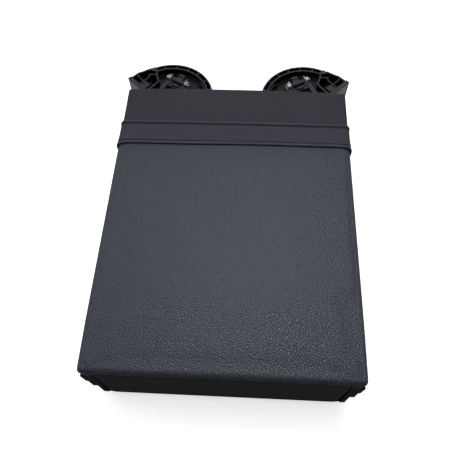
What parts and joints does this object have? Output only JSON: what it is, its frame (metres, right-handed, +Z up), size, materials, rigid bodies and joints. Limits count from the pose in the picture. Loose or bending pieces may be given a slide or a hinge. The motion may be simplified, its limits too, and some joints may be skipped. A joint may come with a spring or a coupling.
{
  "type": "rear seat armrest",
  "caption": "Padded leather rear armrest with a pull flap, a hinge tube through its rear end, and cup holders with sprung grippers that swing out of its front.",
  "frame": {"origin": "on the hinge axis, midway between the sides", "axes": "+X across the armrest along the hinge tube, +Y from the hinge to the cup holders, +Z up to the face that shows when the armrest is stowed; the arm surface lies down"},
  "size_m": [0.288, 0.413, 0.0944],
  "materials": {
    "leather": "grained, blue-grey",
    "smooth_vinyl": "fine grain, neutral dark grey",
    "apron_vinyl": "matt",
    "black_plastic": "moulded, half gloss",
    "carrier_plastic": "moulded",
    "grey_plastic": "moulded",
    "trim_paint": "satin silver",
    "foam": "polyurethane foam",
    "board": "pressed fibre board",
    "steel": "bright",
    "zinc": "zinc plated",
    "rubber": "matt",
    "pad_rubber": "matt",
    "nylon": "natural"
  },
  "bodies": {
    "armrest": {"carrier_shell": "carrier_plastic", "bay_frame": "carrier_plastic", "frame_screws": "zinc", "panel_board": "board", "panel_foam": "foam", "panel_leather": "leather", "smooth_panel": "smooth_vinyl", "pull_flap": "leather", "hinge_apron": "apron_vinyl", "arm_foam": "foam", "arm_leather": "leather", "hinge_tube": "steel", "cheek_screws": "zinc", "housing_tray": "carrier_plastic", "housing_cover": "grey_plastic", "tray_screws": "zinc", "cover_screws": "zinc", "bump_stops": "rubber", "latch_housings": "carrier_plastic", "hinge_bush_left": "nylon", "hinge_bush_right": "nylon", "hinge_cheek_left": "carrier_plastic", "hinge_cheek_right": "carrier_plastic", "spindle_left": "steel", "spindle_right": "steel", "damper_body_left": "carrier_plastic", "damper_body_right": "carrier_plastic"},
    "holder_left": {"cup_ear_left": "black_plastic", "trim_carrier_left": "grey_plastic", "trim_facing_left": "trim_paint", "grip_bracket_left": "grey_plastic", "grip_pin_left": "steel", "grip_springs_left": "zinc", "grip_pad_left": "pad_rubber", "well_mat_left": "rubber", "ear_spring_left": "zinc"},
    "finger_left": {"grip_finger_left": "grey_plastic"},
    "damper_left": {"damper_pinion_left": "nylon"},
    "latch_left": {"latch_plunger_left": "nylon"},
    "holder_right": {"cup_ear_right": "black_plastic", "trim_carrier_right": "grey_plastic", "trim_facing_right": "trim_paint", "grip_bracket_right": "grey_plastic", "grip_pin_right": "steel", "grip_springs_right": "zinc", "grip_pad_right": "pad_rubber", "well_mat_right": "rubber", "ear_spring_right": "zinc"},
    "finger_right": {"grip_finger_right": "grey_plastic"},
    "damper_right": {"damper_pinion_right": "nylon"},
    "latch_right": {"latch_plunger_right": "nylon"}
  },
  "joints": [
    {"name": "swing_left", "type": "hinge", "parent": "armrest", "child": "holder_left", "pos_m": [-0.0814, 0.3003, 0], "axis": [0, 0, 1], "range_deg": [-135, 0], "stiffness_Nm_per_rad": 0.02, "springref_deg": 28.65},
    {"name": "grip_left", "type": "hinge", "parent": "holder_left", "child": "finger_left", "pos_m": [-0.078, 0.35191, 0.0141], "axis": [0.8854, -0.4648, 0], "range_deg": [0, 15], "stiffness_Nm_per_rad": 0.05, "springref_deg": -11.46},
    {"name": "damper_spin_left", "type": "hinge", "parent": "armrest", "child": "damper_left", "pos_m": [-0.06296, 0.2957, 0.012], "axis": [0, 0, 1], "range_deg": [0, 378]},
    {"name": "latch_slide_left", "type": "slide", "parent": "armrest", "child": "latch_left", "axis": [0, 1, 0], "range_m": [-0.005, 0], "stiffness_N_per_m": 200, "springref_m": 0.002},
    {"name": "swing_right", "type": "hinge", "parent": "armrest", "child": "holder_right", "pos_m": [0.0814, 0.3003, 0], "axis": [0, 0, 1], "range_deg": [0, 135], "stiffness_Nm_per_rad": 0.02, "springref_deg": -28.65},
    {"name": "grip_right", "type": "hinge", "parent": "holder_right", "child": "finger_right", "pos_m": [0.078, 0.35191, 0.0141], "axis": [0.8854, 0.4648, 0], "range_deg": [0, 15], "stiffness_Nm_per_rad": 0.05, "springref_deg": -11.46},
    {"name": "damper_spin_right", "type": "hinge", "parent": "armrest", "child": "damper_right", "pos_m": [0.06296, 0.2957, 0.012], "axis": [0, 0, 1], "range_deg": [-378, 0]},
    {"name": "latch_slide_right", "type": "slide", "parent": "armrest", "child": "latch_right", "axis": [0, 1, 0], "range_m": [-0.005, 0], "stiffness_N_per_m": 200, "springref_m": 0.002}
  ],
  "couplings": [
    {"joint": "damper_spin_left", "follows": "swing_left", "ratio": -2.8},
    {"joint": "damper_spin_right", "follows": "swing_right", "ratio": -2.8}
  ]
}
